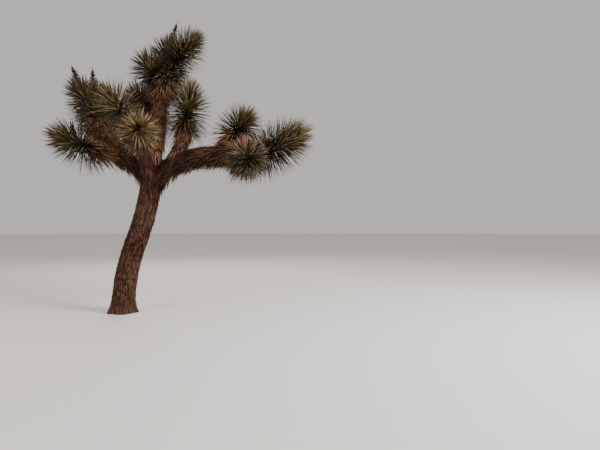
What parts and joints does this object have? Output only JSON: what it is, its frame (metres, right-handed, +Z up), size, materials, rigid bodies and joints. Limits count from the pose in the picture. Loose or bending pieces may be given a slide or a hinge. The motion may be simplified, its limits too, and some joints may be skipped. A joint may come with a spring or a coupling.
{
  "type": "joshua tree",
  "caption": "Leaning tree yucca: a shaggy trunk forking into boughs, each ending in a round head of stiff dagger leaves with a dead skirt.",
  "frame": {"origin": "centre of the flat cut under the trunk, at ground level", "axes": "+Z up, out of the ground; +X towards the side the trunk leans to and the long right bough reaches; -Y towards the picture's camera"},
  "size_m": [4.1181, 2.8061, 4.6535],
  "materials": {
    "bark": "rough, furrowed into short corky plates",
    "thatch": "shaggy, dead leaves lying back along the bough",
    "deadwood": "dry and weathered",
    "leaves": "waxy, stiff dagger leaves",
    "dead_leaves": "dry and papery",
    "flower_stalks": "dried seed cluster"
  },
  "bodies": {
    "root": {"trunk": "bark", "leader": "thatch", "right_bough": "thatch", "left_bough": "thatch", "front_bough": "thatch", "back_bough": "thatch", "middle_left_bough": "thatch", "upper_left_bough": "thatch", "behind_bough": "thatch", "right_inner_bough": "thatch", "right_upper_bough": "thatch", "old_stub": "deadwood", "foliage_top_right": "leaves", "foliage_top_left": "leaves", "foliage_top_middle": "leaves", "foliage_behind": "leaves", "foliage_left_tip": "leaves", "foliage_upper_left_outer": "leaves", "foliage_upper_left_inner": "leaves", "foliage_middle_left": "leaves", "foliage_front": "leaves", "foliage_back_left": "leaves", "foliage_back_right": "leaves", "foliage_right_inner": "leaves", "foliage_right_upper": "leaves", "foliage_right_lower": "leaves", "foliage_right_tip": "leaves"}
  },
  "joints": []
}
